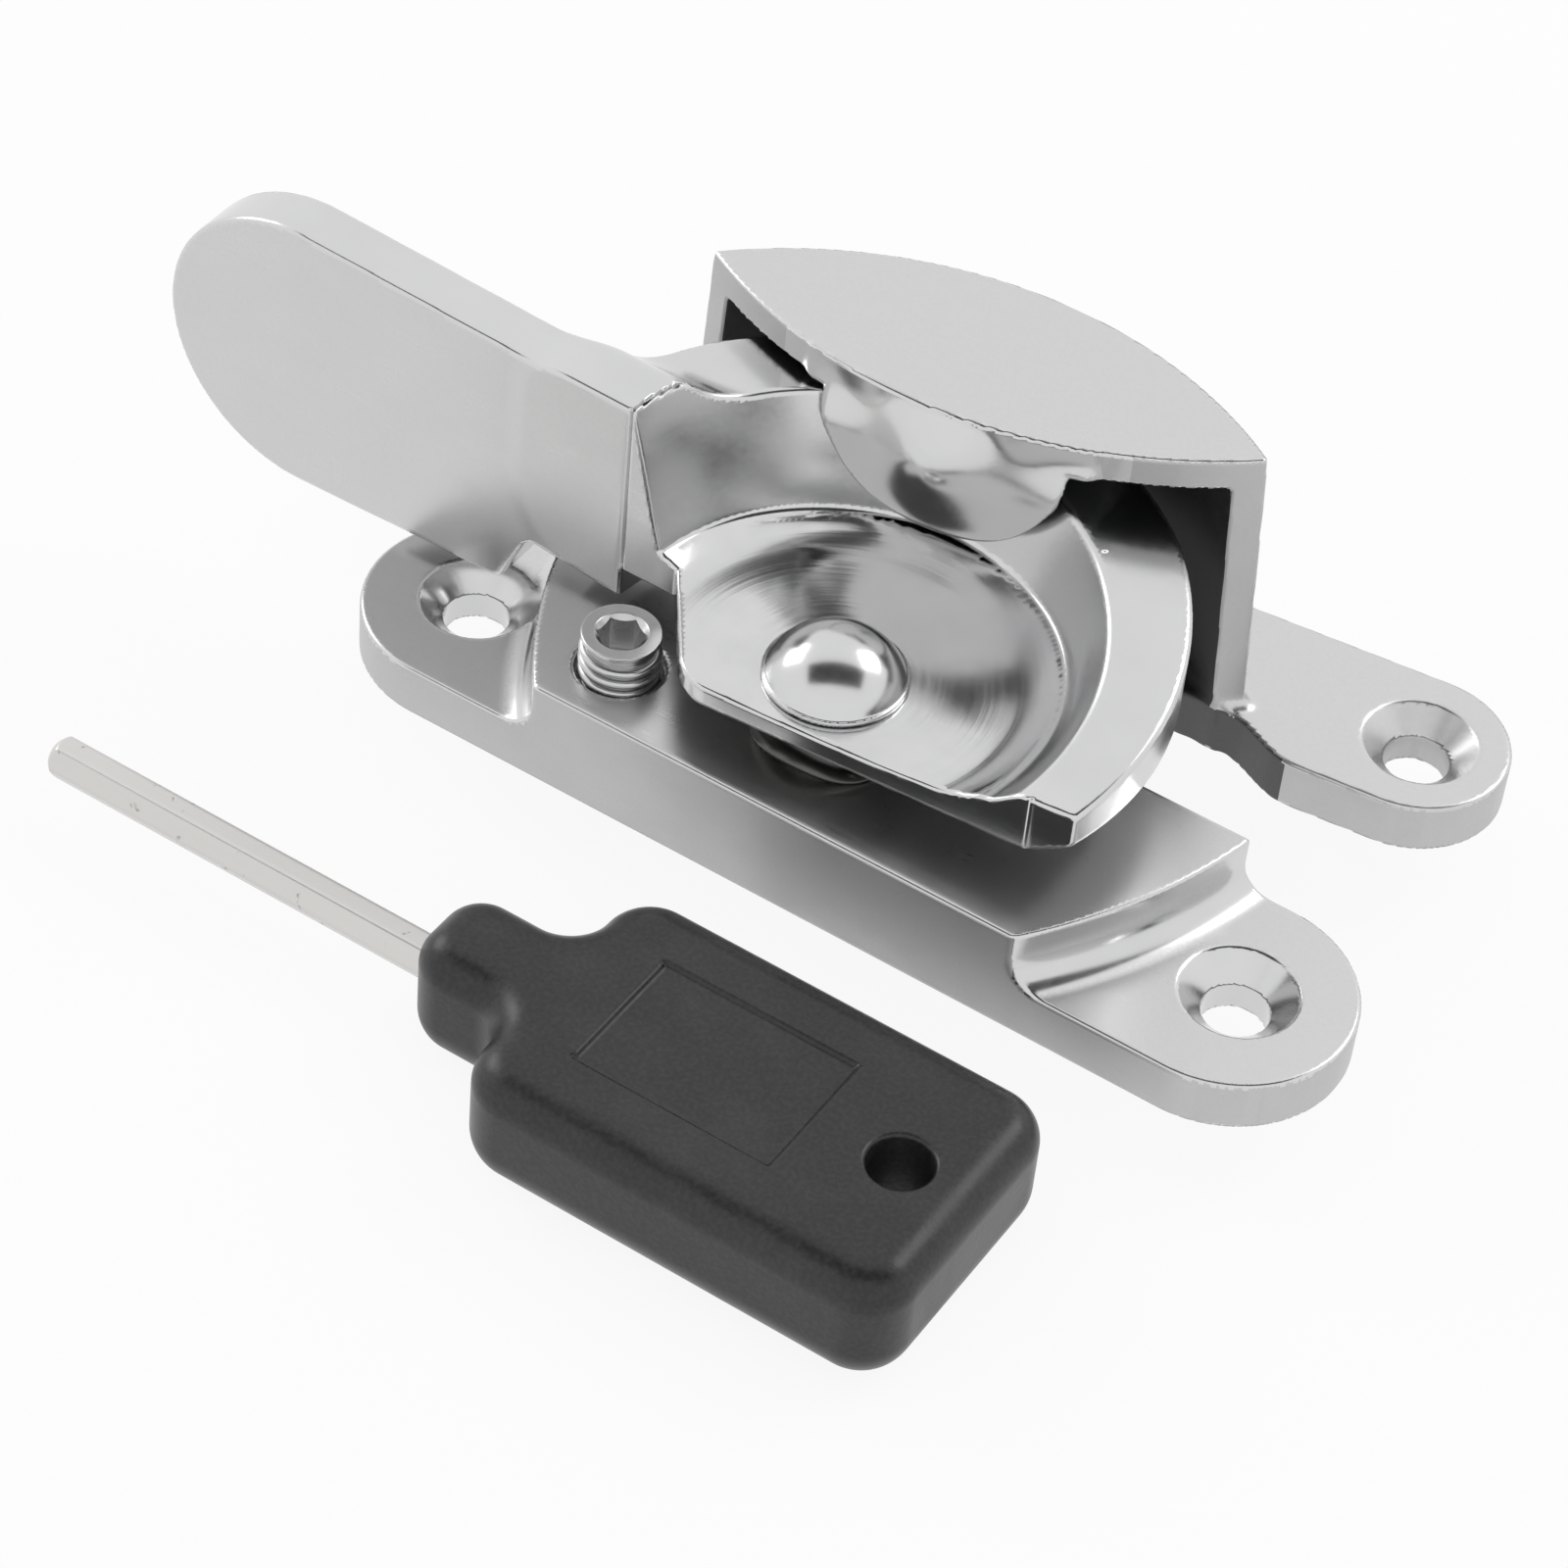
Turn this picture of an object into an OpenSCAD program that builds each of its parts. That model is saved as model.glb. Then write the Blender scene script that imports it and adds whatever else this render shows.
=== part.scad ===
// Locking sash fastener: base with a lock screw, turning cam lever, hooded keep and hex key.
// Millimetres. X runs along the base, Y from the room side towards the keep, Z up.
// Origin: midway between the base's two screw holes, on its underside.

/* [Base] */
// Distance between the base's two screw holes
base_pitch = 53; // [52:0.5:56]
// Width of the base
base_w = 15; // [14.6:0.1:16]
// Thickness of the ears of the base and of the keep
ear_t = 3.45; // [3:0.05:3.6]
// Height of the flat top of the raised block
block_h = 7.2; // [6.8:0.1:7.4]
// Length of the block's top along its front edge
block_front = 32.8; // [30:0.2:34]
// Length of the block's top along its back edge
block_back = 46.6; // [44:0.2:48]
// Distance that a block end spreads from its top to its foot
cove_run = 1.7; // [1.2:0.1:2]
// Middle of the block, from the middle of the screw holes
block_x = -0.8; // [-1.5:0.1:0.5]
// Radius of the screw holes of the base and of the keep
hole_r = 2; // [1.8:0.05:2.2]
// Radius of the countersinks at the top
sink_r = 3.55; // [3.3:0.05:3.8]

/* [Pivot] */
// Pivot axis, from the middle of the screw holes
pivot_x = -1.5; // [-2:0.1:-1]
// Radius of the rivet's shank
rivet_r = 2.5; // [2:0.1:3]
// Radius of the rivet's domed head
dome_r = 4.1; // [3.8:0.1:4.6]
// Height of the rivet's dome
dome_h = 1.9; // [1.5:0.1:2.2]
// Clearance around the rivet and the lock screw
run_gap = 0.05; // [0.03:0.01:0.1]
// Space between the block and the cam that the spring washer fills
washer_gap = 1.25; // [1.2:0.05:1.4]

/* [Lock screw] */
// Lock screw axis, from the pivot along X
lock_dx = -12.8; // [-13:0.1:-12.7]
// Lock screw axis, from the pivot along Y
lock_dy = -2.85; // [-3.1:0.05:-2.7]
// Radius of the lock screw
lock_r = 2.5; // [2.3:0.05:2.55]
// Length of the lock screw
lock_len = 6; // [5.5:0.5:6.5]
// Height of the lock screw above the block as it rests
lock_up = 2.65; // [2.4:0.05:2.7]
// Further travel that locks the cam
lock_travel = 1; // [0.8:0.05:1.1]
// Width across the flats of the hex key and its sockets
hex_af = 2.5; // [2:0.5:2.5]

/* [Cam] */
// Height of the dish floor
floor_z = 11.6; // [11.5:0.1:11.9]
// Radius of the dish at its lip
dish_r = 12.8; // [12.6:0.1:13]
// Distance from the pivot to the front flat
flat_d = 5.1; // [4.9:0.1:5.6]
// Angle of the front flat from X
flat_turn = 4; // [0:1:6]
// Distance from the pivot to the flank that faces the lock screw
flank_d = 8.95; // [8.7:0.05:9]
// Distance from the pivot to the bevel between the flank and the front flat
corner_d = 7.55; // [7.4:0.05:8]
// Inner radius of the rim's crest
crest_r = 15.1; // [14.9:0.1:15.3]
// Outer radius of the rim at its low end and where it is widest
rim_r = [18.4, 20.4];
// Height of the rim's crest at its low and high ends
rim_z = [14, 20.3];

/* [Lever] */
// Reach of the lever's tip from the pivot
lever_reach = 49.2; // [47:0.2:50]
// Radius of the lever's rounded tip
tip_r = 9.6; // [9.2:0.1:9.7]
// Thickness of the lever
lever_t = 3.7; // [3:0.1:4]
// Front face of the lever, from the pivot along Y
lever_y = 1.2; // [1.1:0.1:1.6]
// Height of the lever's lower edge
lever_z = 4; // [3.9:0.05:4.2]

/* [Keep] */
// Distance between the keep's two screw holes
keep_pitch = 58.5; // [56:0.5:60]
// Distance from the pivot to the row of the keep's screw holes
keep_y = 21.1; // [20.9:0.1:22]
// Angle that the keep is turned about the pivot, as it stands loose behind the base
keep_turn = 6.6; // [0:0.2:7]
// Half width of the keep's ears
keep_ear_r = 5.8; // [5.6:0.1:6.4]
// Height of the hood's flat top
hood_z = 23; // [22.8:0.1:23.6]
// Thickness of the hood's top plate
hood_t = 2.1; // [1.9:0.05:2.1]
// Thickness of the hood's wall
wall_t = 2; // [1.6:0.1:2.2]
// Half width of the gap between the ears that the hood spans
neck_half = 20.5; // [19:0.5:21]
// Front edge of the narrow neck between an ear and the hood's wall
neck_y = 21.5; // [21.5:0.25:22.5]
// Front and back of the hood's top, on its middle line
hood_y = [11.7, 24.4];
// Radii of the hood's front and back edges
hood_arc = [29.7, 27.1];
// Spread of the hood's wall from its top to its foot
hood_spread = 1.6; // [1:0.1:1.8]
// Depth of the lip below the top plate
lip_drop = 7.6; // [6:0.1:7.7]
// Radius of the lip's rounded outline, seen from the front
lip_r = 10; // [8:0.25:10.5]
// Radius of the lip's bulging front
lip_bulge = 60; // [18:1:80]

/* [Key] */
// Place of the end where the shank enters the handle
key_at = [-13.1, -22.3];
// Level of the surface that the key lies on, below the base
key_z = -5.2; // [-6:0.1:-5.2]
// Bare length of the shank
shank_len = 27.5; // [20:0.5:30]
// Length, width and thickness of the handle
grip = [28.6, 18.2, 8.8];
// Length of the handle's neck
neck_len = 7.5; // [7:0.5:12]
// Width of the handle's neck
neck_w = 6.8; // [6.4:0.2:9]
// Radius of the coves between the neck and the handle's shoulders
cove_r = 2.4; // [1.5:0.1:3]
// Length, width and depth of the sunk panel
panel = [13, 9, 0.2];
// Radius of the hanging hole
key_hole_r = 1.9; // [1.5:0.1:2.5]

/* [Hidden] */
$fn = 72;

// Undersides of the cam: on the washer, over the screw as it rests, and in the locking pocket
boss_z = block_h + washer_gap;
groove_z = block_h + lock_up + 0.15;
pocket_z = block_h + lock_up + lock_travel + 0.1;
// Radii that the lock screw passes under the cam
lock_d = norm([lock_dx, lock_dy]);
boss_r = lock_d - lock_r - 0.4;
groove_r = lock_d + lock_r + 0.2;
lip_z = floor_z + 1.1;
tip_x = -lever_reach + tip_r;
tip_z = lever_z + tip_r;
hood_under = hood_z - hood_t;

module at_pivot() {
    translate([pivot_x, 0, 0]) children();
}

// Countersunk screw hole down through a plate whose top is at height top
module screw_hole(top) {
    translate([0, 0, -1]) cylinder(r = hole_r, h = top + 2);
    translate([0, 0, top - (sink_r - hole_r)])
        cylinder(r1 = hole_r, r2 = sink_r + 0.5, h = sink_r - hole_r + 0.5);
}

// Round bar with rounded ends along X
module slot_plate(half, r, h) {
    for (s = [-1, 1]) translate([s * half, 0, 0]) cylinder(r = r, h = h);
    translate([-half, -r, 0]) cube([2 * half, 2 * r, h]);
}

// One end of the block: everything outside an arc, with a hollow cove down to the ear
module block_end() {
    r = 36;
    front = [block_front / 2, -base_w / 2];
    back = [block_back / 2, base_w / 2];
    mid = (front + back) / 2;
    half = norm(back - front) / 2;
    along = (back - front) / (2 * half);
    centre = mid - sqrt(r * r - half * half) * [along[1], -along[0]];
    cove_h = block_h - ear_t;
    cove = [for (i = [0 : 8]) let (a = i * 90 / 8)
        [r + cove_run * (1 - cos(a)), block_h - cove_h * sin(a)]];
    translate([centre[0], centre[1], 0])
        rotate([0, 0, atan2(along[1], along[0]) - 125])
            rotate_extrude(angle = 70, $fn = 240)
                polygon(concat(cove, [[r + 30, ear_t], [r + 30, block_h + 5], [r, block_h + 5]]));
}

module base_plate() {
    color("silver") difference() {
        union() {
            slot_plate(base_pitch / 2 - 0.6, base_w / 2, ear_t);
            translate([block_x - 30, -base_w / 2, 0]) cube([60, base_w, block_h]);
        }
        translate([block_x, 0, 0]) {
            block_end();
            mirror([1, 0, 0]) block_end();
        }
        for (s = [-1, 1]) {
            translate([s * base_pitch / 2, 0, 0]) screw_hole(ear_t);
            // Rounded ends of the ears
            translate([s * (base_pitch / 2 - 0.6), 0, -1]) difference() {
                translate([s > 0 ? 0 : -20, -10, 0]) cube([20, 20, ear_t + 2]);
                translate([0, 0, -1]) cylinder(r = base_w / 2, h = ear_t + 4);
            }
        }
        at_pivot() {
            translate([0, 0, -1]) cylinder(r = rivet_r, h = block_h + 2);
            translate([0, 0, -1]) cylinder(r = rivet_r + 1.2, h = 2.4);
            translate([lock_dx, lock_dy, -1]) cylinder(r = lock_r + run_gap, h = block_h + 2);
        }
    }
}

module pivot_rivet() {
    ball_r = (dome_r * dome_r + dome_h * dome_h) / (2 * dome_h);
    seat_z = floor_z + run_gap;
    color("silver") at_pivot() {
        translate([0, 0, 0.1]) cylinder(r = rivet_r + 1.2, h = 1.3);
        translate([0, 0, 0.1]) cylinder(r = rivet_r, h = seat_z);
        intersection() {
            translate([0, 0, seat_z]) cylinder(r = dome_r, h = dome_h + 1);
            translate([0, 0, seat_z + dome_h - ball_r]) sphere(r = ball_r);
        }
    }
}

// Spring washer with three waves, from the block up to the cam
module wave_washer() {
    steps = 72;
    inner = rivet_r + 0.4;
    outer = rivet_r + 2.1;
    t = 0.5;
    swing = (washer_gap - t) / 2 - 0.02;
    function lift(a) = block_h + 0.01 + swing * (1 + sin(3 * a));
    points = [for (i = [0 : steps - 1]) let (a = i * 360 / steps)
        each [for (p = [[inner, 0], [outer, 0], [outer, t], [inner, t]])
            [p[0] * cos(a), p[0] * sin(a), lift(a) + p[1]]]];
    faces = [for (i = [0 : steps - 1]) let (n = (i + 1) % steps)
        each [for (k = [0 : 3]) let (m = (k + 1) % 4)
            each [[4 * i + k, 4 * n + k, 4 * n + m], [4 * i + k, 4 * n + m, 4 * i + m]]]];
    color("gray") at_pivot() polyhedron(points, [for (f = faces) [f[2], f[1], f[0]]]);
}

module hex_bar(af, h) {
    rotate([0, 0, 30]) cylinder(r = af / sqrt(3), h = h, $fn = 6);
}

module lock_screw() {
    top = block_h + lock_up;
    color("silver") at_pivot() translate([lock_dx, lock_dy, 0]) difference() {
        intersection() {
            translate([0, 0, top - lock_len]) cylinder(r = lock_r, h = lock_len);
            translate([0, 0, top - lock_len - 1])
                cylinder(r1 = lock_r + lock_len + 0.4, r2 = lock_r - 0.6, h = lock_len + 1);
        }
        translate([0, 0, top - 2.6]) hex_bar(hex_af + 0.05, 3);
    }
}

// Crest height and outer radius of the rim at angle a about the pivot
function crest_z(a) = let (u = min(1, max(0, (a + 18) / 168)))
    rim_z[0] + (rim_z[1] - rim_z[0]) * sin(90 * u);
function outer_r(a) = let (u = min(1, max(0, (a + 15) / 65)))
    rim_r[0] + (rim_r[1] - rim_r[0]) * u;

// Spiral rim: a ridge that climbs around the dish from its low front end to the lever
module rim() {
    first = -22;
    last = 174;
    steps = 42;
    function section(a) = [[dish_r + 0.2, groove_z + 0.15], [dish_r + 0.2, lip_z - 0.7], [crest_r, crest_z(a)],
        [outer_r(a), crest_z(a) - 0.15], [outer_r(a), groove_z + 1.9], [groove_r, groove_z + 0.15]];
    n = len(section(0));
    points = [for (i = [0 : steps]) let (a = first + (last - first) * i / steps)
        each [for (p = section(a)) [p[0] * cos(a), p[0] * sin(a), p[1]]]];
    sides = [for (i = [0 : steps - 1]) each [for (k = [0 : n - 1]) let (m = (k + 1) % n)
        each [[n * i + k, n * (i + 1) + m, n * i + m], [n * i + k, n * (i + 1) + k, n * (i + 1) + m]]]];
    low_end = [for (k = [0 : n - 3]) [n - 1, k, k + 1]];
    high_end = [for (f = low_end) [for (j = [2 : -1 : 0]) f[j] + n * steps]];
    polyhedron(points, concat(sides, low_end, high_end));
}

// Dished disc that turns on the washer
module dish() {
    ledge_r = dish_r + 1.2;
    curve = [for (i = [6 : -1 : 0]) let (u = i / 6)
        [dish_r - 3.6 * (1 - u), floor_z + (lip_z - floor_z) * u * u]];
    rotate_extrude($fn = 144)
        polygon(concat([[0, boss_z], [boss_r, boss_z], [boss_r, groove_z], [ledge_r, groove_z], [ledge_r, lip_z]],
            curve, [[0, floor_z]]));
}

// Side view of the lever blade, in X and Z
module blade_side() {
    step_x = -24.4;
    root_z = tip_z + tip_r - 1.5;
    translate([tip_x, tip_z]) circle(r = tip_r, $fn = 96);
    polygon([[tip_x, lever_z], [step_x, lever_z + 0.4], [step_x + 1.8, boss_z], [-groove_r, boss_z],
        [-groove_r, groove_z], [-12, groove_z], [-12, root_z], [tip_x, tip_z + tip_r]]);
}

module blade() {
    slope = (crest_r - dish_r) / (rim_z[1] - lip_z);
    difference() {
        translate([0, lever_y + lever_t, 0]) rotate([90, 0, 0]) linear_extrude(lever_t) blade_side();
        // The bowl's flaring wall ends the blade
        translate([0, 0, lip_z - 4])
            cylinder(r1 = dish_r + 0.4 - 4 * slope, r2 = dish_r + 0.4 + 12 * slope, h = 16, $fn = 144);
    }
}

module cam_lever() {
    color("silver") at_pivot() difference() {
        union() {
            difference() {
                union() {
                    dish();
                    rim();
                }
                // Flank that faces the lock screw
                intersection() {
                    rotate([0, 0, 215.8]) translate([flank_d, -20, 0]) cube([20, 30, 40]);
                    translate([-30, -30, 0]) cube([40, 30 + lever_y + 0.2, 40]);
                }
            }
            blade();
        }
        // Front flat, and the bevel between it and the flank
        rotate([0, 0, flat_turn]) translate([-30, -flat_d - 40, 0]) cube([70, 40, 40]);
        rotate([0, 0, 245]) translate([corner_d, -20, 0]) cube([20, 40, 40]);
        translate([0, 0, boss_z - 1]) cylinder(r = rivet_r + run_gap, h = 10);
        // Pocket that takes the raised lock screw when the lever is fully open
        translate([-lock_dx, -lock_dy, boss_z - 1]) cylinder(r = lock_r + 0.3, h = pocket_z - boss_z + 1);
    }
}

// Space behind the hood's back edge, wider at its foot; grow adds to its radius
module hood_cone(grow) {
    translate([0, hood_y[1] - hood_arc[1], 0])
        cylinder(r1 = hood_arc[1] + hood_spread + grow, r2 = hood_arc[1] + grow, h = hood_z, $fn = 180);
}

// Lens-shaped hood: a flat top on a wall that ends flush with the top's front edge
module hood() {
    intersection() {
        difference() {
            hood_cone(0);
            intersection() {
                hood_cone(-wall_t);
                translate([-50, -50, -1]) cube([100, 100, hood_under + 1]);
            }
        }
        translate([0, hood_y[0] + hood_arc[0], 0]) cylinder(r = hood_arc[0], h = hood_z, $fn = 180);
    }
}

// Ears in one strip, narrowed in front by a gap with round shoulders
module ears() {
    shoulder_r = 3.1;
    gap_y = keep_y - keep_ear_r;
    difference() {
        slot_plate(keep_pitch / 2 - 0.3, keep_ear_r, ear_t);
        translate([0, -keep_y, -1]) {
            translate([-neck_half, 0, 0]) cube([2 * neck_half, neck_y - shoulder_r, ear_t + 2]);
            translate([shoulder_r - neck_half, 0, 0])
                cube([2 * (neck_half - shoulder_r), neck_y, ear_t + 2]);
            for (s = [-1, 1]) {
                translate([s * (neck_half - shoulder_r), neck_y - shoulder_r, 0])
                    cylinder(r = shoulder_r, h = ear_t + 2);
                // Round shoulder of the ear
                translate([s * neck_half - (s < 0 ? shoulder_r : 0), gap_y, 0]) difference() {
                    cube([shoulder_r, shoulder_r, ear_t + 2]);
                    translate([s < 0 ? 0 : shoulder_r, shoulder_r, -1])
                        cylinder(r = shoulder_r, h = ear_t + 4);
                }
            }
        }
    }
}

// Lip that hangs inside the cam's rim: bulging in front, round behind, half round below
module lip() {
    gap = 0.3;
    flare = (crest_r - dish_r) / (rim_z[1] - lip_z);
    front_y = hood_y[0] - 0.8;
    intersection() {
        translate([0, 0, lip_z])
            cylinder(r1 = dish_r - gap, r2 = dish_r - gap + 10 * flare, h = 10, $fn = 144);
        translate([0, front_y + lip_bulge, hood_under - 1.7]) sphere(r = lip_bulge, $fn = 144);
        translate([0, 40, hood_under - lip_drop + lip_r]) rotate([90, 0, 0])
            cylinder(r = lip_r, h = 40, $fn = 96);
        translate([-20, 0, 0]) cube([40, 40, hood_z - 0.5]);
    }
}

module keep() {
    color("silver") at_pivot() rotate([0, 0, keep_turn]) difference() {
        union() {
            translate([0, keep_y, 0]) ears();
            hood();
            lip();
        }
        for (s = [-1, 1]) translate([s * keep_pitch / 2, keep_y, 0]) screw_hole(ear_t);
    }
}

module key_shank() {
    color("gainsboro") translate([key_at[0], key_at[1], key_z + grip[2] / 2])
        rotate([0, -90, 0]) translate([0, 0, -14]) hex_bar(hex_af - 0.04, shank_len + 14);
}

// Flat block with round upright corners: its length along X from zero, its underside at zero
module soft_block(size, r) {
    half = size[1] / 2 - r;
    translate([r, -size[1] / 2, 0]) cube([size[0] - 2 * r, size[1], size[2]]);
    translate([0, -half, 0]) cube([size[0], 2 * half, size[2]]);
    for (x = [r, size[0] - r], y = [-half, half]) translate([x, y, 0]) cylinder(r = r, h = size[2]);
}

// Round bar along X whose section is a slot: the outer edges of the handle, seen from its end
module round_edges(size, r) {
    translate([0, 0, size[2] / 2]) rotate([90, 0, 90]) {
        translate([-size[1] / 2, r - size[2] / 2, 0]) cube([size[1], size[2] - 2 * r, size[0]]);
        translate([r - size[1] / 2, -size[2] / 2, 0]) cube([size[1] - 2 * r, size[2], size[0]]);
        for (x = [-1, 1], y = [-1, 1])
            translate([x * (size[1] / 2 - r), y * (size[2] / 2 - r), 0]) cylinder(r = r, h = size[0]);
    }
}

module key_handle() {
    socket_len = 14;
    edge_r = 1.5;
    color([0.2, 0.2, 0.2]) translate([key_at[0], key_at[1], key_z]) difference() {
        union() {
            intersection() {
                soft_block([neck_len + 5, neck_w, grip[2]], 1.8);
                round_edges([neck_len + 5, neck_w, grip[2]], edge_r);
            }
            translate([neck_len, 0, 0]) intersection() {
                soft_block(grip, 3.2);
                round_edges(grip, edge_r);
            }
            // Coves between the neck and the shoulders
            for (s = [-1, 1]) translate([neck_len - cove_r, s * neck_w / 2, edge_r]) difference() {
                translate([0, s < 0 ? -cove_r : 0, 0]) cube([cove_r + 1, cove_r, grip[2] - 2 * edge_r]);
                translate([0, s * cove_r, -1]) cylinder(r = cove_r, h = grip[2]);
            }
        }
        translate([neck_len + grip[0] - 5, 0, -1]) cylinder(r = key_hole_r, h = grip[2] + 2);
        // Bare panel sunk in the upper face
        translate([neck_len + 5, -panel[1] / 2, grip[2] - panel[2]]) cube([panel[0], panel[1], 1]);
        translate([-1, 0, grip[2] / 2]) rotate([0, 90, 0]) hex_bar(hex_af - 0.04, socket_len + 1);
    }
}

base_plate();
cam_lever();
pivot_rivet();
wave_washer();
lock_screw();
keep();
key_shank();
key_handle();
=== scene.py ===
"""Locking sash fastener: the finished look of every piece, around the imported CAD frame.

Shapes are worked out in millimetres in the frame's own axes and turned into metres as meshes.
A casting is a function of x, y and z that is negative inside the metal. Its edges are rounded
where two faces are put together, and cast() turns it into a closed mesh.
"""

import math

import bpy
import numpy as np
from mathutils import Matrix, Vector


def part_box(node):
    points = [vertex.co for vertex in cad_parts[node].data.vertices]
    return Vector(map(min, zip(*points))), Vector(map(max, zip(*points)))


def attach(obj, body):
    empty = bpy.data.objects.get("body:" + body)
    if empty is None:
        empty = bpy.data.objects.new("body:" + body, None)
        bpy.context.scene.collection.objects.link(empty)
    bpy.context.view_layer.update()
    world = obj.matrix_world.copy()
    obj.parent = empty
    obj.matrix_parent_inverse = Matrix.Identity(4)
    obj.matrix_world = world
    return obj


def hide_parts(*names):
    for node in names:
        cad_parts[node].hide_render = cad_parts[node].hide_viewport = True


MM = 0.001

# How cast() works: the grid is shifted off the flat faces, and a vertex never divides by
# less than LEAST_SLOPE
GRID_SHIFT = 0.0137
SETTLE_ROUNDS, EVENING_ROUNDS = 2, 2
LEAST_SLOPE = 0.05
# How far a countersink's cone runs on above its face
CONE_RISE = 0.5

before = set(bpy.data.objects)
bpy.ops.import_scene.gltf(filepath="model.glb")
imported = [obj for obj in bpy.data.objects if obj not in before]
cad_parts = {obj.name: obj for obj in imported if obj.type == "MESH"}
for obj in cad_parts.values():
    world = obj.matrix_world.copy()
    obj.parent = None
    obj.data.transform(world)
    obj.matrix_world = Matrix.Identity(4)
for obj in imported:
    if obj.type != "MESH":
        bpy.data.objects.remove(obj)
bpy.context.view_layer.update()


# Solids as distances in millimetres, negative inside

def meet(a, b, r=0.0):
    """What lies in both solids, with the edge between them rounded to radius r."""
    if r == 0:
        return np.maximum(a, b)
    inner = np.minimum(-r, np.maximum(a, b))
    return inner + np.hypot(np.maximum(r + a, 0), np.maximum(r + b, 0))


def join(a, b, r=0.0):
    """Both solids as one, with a cove of radius r in the corner between them."""
    return -meet(-a, -b, r)


def cut(a, b, r=0.0):
    """Solid a without solid b, with the new edge rounded."""
    return meet(a, -b, r)


def bore(x, y, z, centre, radius, top, sink):
    """Round hole down from height top, with a 45 degree countersink out to radius sink."""
    rho = np.hypot(x - centre[0], y - centre[1])
    cone = (rho - sink + (top - z)) * math.sqrt(0.5)
    return np.minimum(rho - radius, np.maximum(cone, z - top - CONE_RISE))


def rounded(x, y, half_x, half_y, r):
    """Upright bar, oblong in plan, with corners of radius r about the corners of the halves."""
    return np.hypot(np.maximum(np.abs(x) - half_x, 0), np.maximum(np.abs(y) - half_y, 0)) - r


def hexagon(x, y, across):
    """Upright hexagonal bar with two flats facing along X."""
    return np.maximum.reduce([np.abs(x * math.cos(a) + y * math.sin(a)) for a in
                              (0, math.pi / 3, 2 * math.pi / 3)]) - across / 2


def slope(form, p, step=0.01):
    """Gradient of a form at the points p, from differences over a hundredth of a millimetre."""
    sides = []
    for axis in range(3):
        shift = np.zeros(3)
        shift[axis] = step
        sides.append((form(*(p + shift).T) - form(*(p - shift).T)) / (2 * step))
    return np.stack(sides, axis=1)


def cast(name, form, low, high, pitch):
    """Meshes the surface where form is zero.

    Each cell of the grid that the surface crosses gets one vertex. The vertices are evened out
    and settled on the surface, and their normals come from the form itself.
    """
    axes = [np.arange(a - 2 * pitch + GRID_SHIFT, b + 3 * pitch, pitch) for a, b in zip(low, high)]
    shape = tuple(len(a) for a in axes)
    field = np.empty(shape)
    for i, x in enumerate(axes[0]):
        y, z = np.meshgrid(axes[1], axes[2], indexing="ij")
        field[i] = form(np.full_like(y, x), y, z)
    cells, crossings, quads = [], [], []
    for axis in range(3):
        near = field.take(range(shape[axis] - 1), axis)
        far = field.take(range(1, shape[axis]), axis)
        at = np.argwhere((near < 0) != (far < 0))
        f0, f1 = near[tuple(at.T)], far[tuple(at.T)]
        point = at.astype(float)
        point[:, axis] += f0 / (f0 - f1)
        u, v = [k for k in range(3) if k != axis]
        ring = []
        for du, dv in ((0, 0), (1, 0), (1, 1), (0, 1)):
            cell = at.copy()
            cell[:, u] -= du
            cell[:, v] -= dv
            ring.append(np.ravel_multi_index(cell.T, shape))
            cells.append(ring[-1])
            crossings.append(point)
        ring = np.stack(ring, axis=1)
        turned = (f0 < 0) == (axis == 1)
        ring[turned] = ring[turned][:, ::-1]
        quads.append(ring)
    cells, crossings = np.concatenate(cells), np.concatenate(crossings)
    quads = np.concatenate(quads)
    used, place = np.unique(cells, return_inverse=True)
    count = np.bincount(place)
    points = np.stack([np.bincount(place, crossings[:, k]) / count for k in range(3)], axis=1)
    points = points * pitch + np.array([a[0] for a in axes])
    quads = np.searchsorted(used, quads)

    def settle(p):
        for _ in range(SETTLE_ROUNDS):
            g = slope(form, p)
            move = form(*p.T)[:, None] * g / np.maximum((g * g).sum(1), LEAST_SLOPE)[:, None]
            p = p - np.clip(move, -pitch / 2, pitch / 2)
        return p

    points = settle(points)
    for _ in range(EVENING_ROUNDS):
        total = np.zeros_like(points)
        number = np.zeros(len(points))
        for k in range(4):
            a, b = quads[:, k], quads[:, (k + 1) % 4]
            for p, q in ((a, b), (b, a)):
                number += np.bincount(p, minlength=len(points))
                for c in range(3):
                    total[:, c] += np.bincount(p, points[q, c], len(points))
        points = settle(0.5 * points + 0.5 * total / number[:, None])
    mesh = bpy.data.meshes.new(name)
    mesh.vertices.add(len(points))
    mesh.vertices.foreach_set("co", (points * MM).ravel())
    mesh.loops.add(4 * len(quads))
    mesh.loops.foreach_set("vertex_index", quads.ravel().astype(np.int32))
    mesh.polygons.add(len(quads))
    mesh.polygons.foreach_set("loop_start", np.arange(0, 4 * len(quads), 4, dtype=np.int32))
    mesh.update(calc_edges=True)
    mesh.validate()
    mesh.polygons.foreach_set("use_smooth", np.ones(len(mesh.polygons), dtype=bool))
    normals = slope(form, points)
    normals /= np.linalg.norm(normals, axis=1)[:, None]
    mesh.normals_split_custom_set_from_vertices(normals)
    thing = bpy.data.objects.new(name, mesh)
    bpy.context.scene.collection.objects.link(thing)
    return thing


# Sizes, in millimetres

PIVOT_X = -1.5

# Ears of the base and the keep: screw holes, their countersinks and the thickness
HOLE_R, SINK_R, EAR_T = 2.0, 3.55, 3.45

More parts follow.
